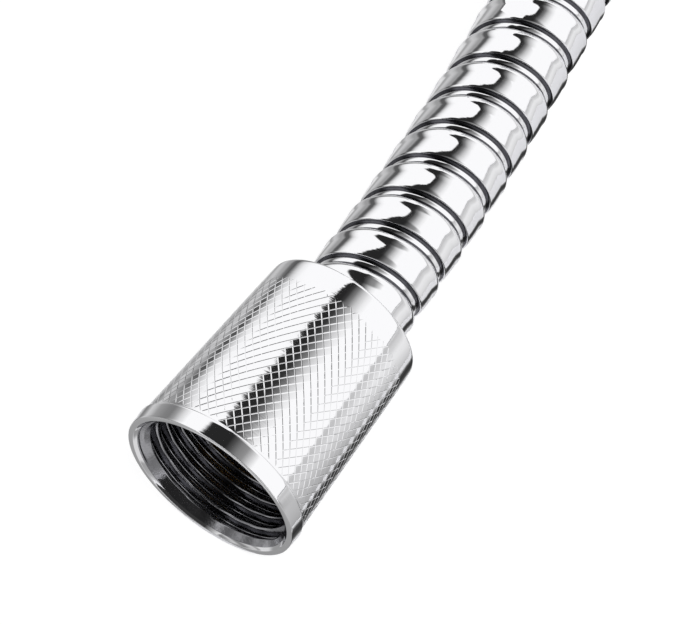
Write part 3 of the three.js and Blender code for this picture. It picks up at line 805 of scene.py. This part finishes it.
low, high = -FLOOR_REACH, FLOOR_REACH
floor = stage_mesh("floor", [(low, low, 0), (high, low, 0), (high, high, 0), (low, high, 0)], [(0, 1, 2, 3)])
paper, tree = new_material("studio_paper_white")
where = add_node(tree, "ShaderNodeTexCoord").outputs["Object"]
fibre = add_node(tree, "ShaderNodeTexNoise", {"Vector": where, "Scale": 900.0, "Detail": 3.0})
tone = add_node(tree, "ShaderNodeMix", {MIX_SHARE: fibre.outputs[0], MIX_FIRST: linear("#E2E2E4"),
                                        MIX_SECOND: linear("#E8E8EA")}, data_type="RGBA")
lit = add_node(tree, "ShaderNodeBsdfDiffuse", {"Color": tone.outputs[MIX_COLOUR]})
bright = add_node(tree, "ShaderNodeEmission", {"Color": (1, 1, 1, 1), "Strength": GLOW})
seen = add_node(tree, "ShaderNodeLightPath").outputs["Is Camera Ray"]
share = add_node(tree, "ShaderNodeMath", {0: seen, 1: GLOW_SHARE}, operation="MULTIPLY")
shader = add_node(tree, "ShaderNodeMixShader", {0: share.outputs[0], 1: lit.outputs[0], 2: bright.outputs[0]})
add_node(tree, "ShaderNodeOutputMaterial", {"Surface": shader.outputs[0]})
floor.data.materials.append(paper)

# %% White room
ROOM_LIGHT, ROOM_SEEN = 0.45, 1.0
world = bpy.data.worlds.new("white_room")
bpy.context.scene.world = world
world.use_nodes = True
tree = world.node_tree
tree.nodes.clear()
rays = add_node(tree, "ShaderNodeLightPath")
mirrored = add_node(tree, "ShaderNodeMath", {0: rays.outputs["Is Camera Ray"], 1: rays.outputs["Is Glossy Ray"]},
                    operation="ADD")
mirrored = add_node(tree, "ShaderNodeMath", {0: mirrored.outputs[0], 1: rays.outputs["Is Transmission Ray"]},
                    operation="ADD", use_clamp=True)
strength = add_node(tree, "ShaderNodeMapRange", {"Value": mirrored.outputs[0], "To Min": ROOM_LIGHT,
                                                 "To Max": ROOM_SEEN})
room = add_node(tree, "ShaderNodeBackground", {"Color": (1, 1, 1, 1), "Strength": strength.outputs[0]})
add_node(tree, "ShaderNodeOutputWorld", {"Surface": room.outputs[0]})

# %% [markdown]
# ### Cards
# A product photographer hangs dark and white cards round a mirror-like piece, to draw its form. One long card above
# gives the dark streak along the top, sharp on one side and fading on the other. A low fence close by on the left
# gives the thin dark lines there. Strips on the floor do the same for the right side and for the lip, and a small
# white screen keeps the coil out of the first turns' reflections. Only reflections see the cards. Each is a grid whose
# points carry their own brightness, so that a card can fade like a real one that is lit from one side.

# %% Cards that only reflections see
card_cloth, tree = new_material("card_cloth")
shade = add_node(tree, "ShaderNodeAttribute", attribute_name="shade").outputs["Fac"]
shader = add_node(tree, "ShaderNodeEmission", {"Strength": shade})
add_node(tree, "ShaderNodeOutputMaterial", {"Surface": shader.outputs[0]})


def card(name, x, y, z, shade):
    """A card from a grid of points in metres, with its own brightness at each of them."""
    x, y, z, shade = np.broadcast_arrays(x, y, z, shade)
    across, along = x.shape
    i, j = np.meshgrid(np.arange(across - 1) * along, np.arange(along - 1), indexing="ij")
    corner = (i + j).ravel()
    faces = np.stack([corner, corner + along, corner + along + 1, corner + 1], 1)
    made = stage_mesh(name, np.stack([x, y, z], -1).reshape(-1, 3), faces.tolist())
    levels = made.data.attributes.new("shade", "FLOAT", "POINT")
    levels.data.foreach_set("value", shade.astype(np.float32).ravel())
    made.visible_camera = made.visible_diffuse = made.visible_shadow = made.visible_transmission = False
    made.data.materials.append(card_cloth)
    print(name, "has", len(faces), "faces")


# %% The card overhead
HEIGHT = 1.2
# x and y are in heights of the card, so they are also the slopes of the rays that meet it
x = np.linspace(-0.6, 1.0, 161)[:, None]
y = np.concatenate([np.linspace(-1.3, 0.4, 18), np.linspace(0.41, 1.3, 90)])[None, :]
left_edge = np.interp(y, [0.3, 0.44, 0.56, 0.64, 0.70, 0.8, 1.0, 1.3],
                      [-0.5, -0.42, -0.3, -0.16, -0.10, -0.06, -0.05, -0.06])
left_width = np.interp(y, [0.5, 0.65], [0.12, 0.035])
near_fade = np.interp(x, [0.10, 0.21, 0.36, 0.53, 0.73, 0.97], [0.02, 0.08, 0.21, 0.28, 0.62, 1.0])
far_fade = np.interp(x, [0.0, 0.08, 0.21, 0.36, 0.53, 0.7], [0.02, 0.04, 0.2, 0.56, 0.85, 1.0])
fade = near_fade + (far_fade - near_fade) * ease((y - 0.48) / 0.15)
from_left = ease((left_edge - x) / left_width + 0.5)
card("overhead_card", x * HEIGHT, y * HEIGHT, HEIGHT, np.maximum(fade, from_left))

# %% The card in front
FRONT_CARD_Y, FRONT_CARD_TOP = -1.6, 1.5
x, z = np.linspace(-0.9, 2.5, 35)[:, None], np.array([[0.0, FRONT_CARD_TOP]])
card("front_card", x, FRONT_CARD_Y, z, np.interp(x, [-0.9, -0.55, -0.3, 2.5], [1.0, 0.4, 0.04, 0.03]))

# %% The fence on the left
# it follows the hose at 15 to 22 mm, and its brightness goes by height, beside the band, the grip and the hose
line_y = np.concatenate([np.linspace(-60, 12, 25), np.linspace(13, 76, 43)])
beside = np.interp(line_y, [12, 22], [22.0, 15.0])
line_x = smooth(np.maximum(line_y - HOSE_START, 0), run_along, run_aside) - beside
z = np.linspace(0.3, 42, 140)
by_band = np.interp(z, [0, 3, 7, 10, 13, 15.5, 18, 20.5, 23, 26, 29, 33, 38],
                    [0.6, 0.54, 0.2, 0.3, 0.6, 0.5, 0.32, 0.27, 0.22, 0.2, 0.34, 0.7, 1.0])
by_grip = np.interp(z, [3, 6.8, 9.8, 12.5, 14.9, 17.3, 19.3, 21, 22.6, 25.3, 28.5, 32],
                    [0.54, 0.37, 0.42, 0.62, 0.47, 0.3, 0.08, 0.1, 0.42, 0.8, 0.95, 1.0])
by_hose = np.interp(z, [0, 4, 6, 7.3, 8.5, 10.6, 12.4, 14.5, 16, 17.4, 19.2, 20.4, 21.5, 23.5, 26],
                    [0.8, 0.76, 0.66, 0.36, 0.38, 0.58, 0.52, 0.34, 0.34, 0.1, 0.1, 0.35, 0.65, 0.9, 1.0])
grip_share = ease((line_y + 3) / 5)[:, None]
hose_share = ease((line_y - 12) / 10)[:, None]
shade = by_band + (by_grip - by_band) * grip_share + (by_hose - by_grip) * hose_share
card("left_card", line_x[:, None] * MM, line_y[:, None] * MM, z[None, :] * MM, shade)

# %% The screen before the coil
SCREEN_X = -14.5
y, z = np.array([[66.0], [88.0]]), np.array([[15.5, 50.0]])
card("coil_screen", SCREEN_X * MM, y * MM, z * MM, 1.0)

# %% The dark strip on the floor
STRIP_LEVEL, RIGHT_LEVEL, MOUTH_LEVEL = 0.0003, 0.0002, 0.0004
y = np.linspace(-40, 80, 41)[None, :]
share = np.array([0.0, 0.2, 0.5, 0.8, 1.0])[:, None]
inner = np.interp(y, [-7, 20, 30, 49, 69, 80], [11.6, 9.6, 8.4, 4.2, -1.6, -4.6])
outer = np.interp(y, [-7, 20, 30, 49, 69, 80], [20.0, 17.8, 14.5, 9.8, 4.5, 1.5])
dark = np.interp(share, [0, 0.2, 0.5, 0.8, 1], [0.5, 0.08, 0.03, 0.07, 0.6])
card("dark_floor_strip", (inner + (outer - inner) * share) * MM, y * MM, STRIP_LEVEL, dark)

# %% The floor's card on the right
x, y = np.geomspace(21, 600, 60)[:, None], np.linspace(-60, 400, 93)[None, :]
shade = np.interp(x, [21, 23, 28, 35, 48, 75, 176, 330, 600], [0.6, 0.68, 0.75, 0.8, 0.84, 0.68, 0.55, 0.6, 0.8])
card("right_floor_card", x * MM, y * MM, RIGHT_LEVEL, shade * np.interp(y, [5, 30], [0.62, 1.0]))

# %% The floor's card before the mouth
# it is dark, with one pale spot that lights the lip
x, y = np.linspace(-40, 30, 71)[:, None], np.linspace(-50, -14.2, 73)[None, :]
from_spot = np.hypot((x + 4) / 8, (y + 20) / 4.5)
spot, spot_shade = ease((1 - from_spot) / 0.4), 0.7
shade = np.interp(y, [-50, -32, -14], [0.7, 0.4, 0.3]) * (1 - spot) + spot_shade * spot
card("mouth_floor_card", x * MM, y * MM, MOUTH_LEVEL, shade)

# %% [markdown]
# ### Lamps
# Two softboxes, a stronger one at the right and a weaker one at the left, give the soft shadow on the floor and light
# the matt pieces. Reflections don't see them, because the cards already draw the metal.

# %% Lamps
for name, stand, aim, power, size in (
        ("key_softbox", (0.35, -0.1, 0.75), (0.02, 0, 0), 3.8, 0.5),
        ("fill_softbox", (-0.6, -0.4, 0.8), (0, 0.1, 0), 2.1, 0.6)):
    lamp_data = bpy.data.lights.new(name, "AREA")
    lamp_data.energy, lamp_data.size = power, size
    lamp = bpy.data.objects.new(name, lamp_data)
    bpy.context.scene.collection.objects.link(lamp)
    toward = Vector(aim) - Vector(stand)
    lamp.matrix_world = Matrix.Translation(stand) @ toward.to_track_quat("-Z", "Y").to_matrix().to_4x4()
    lamp.visible_glossy = False
    print(name, "gives", power, "W")
bpy.context.scene.view_settings.view_transform = "Standard"
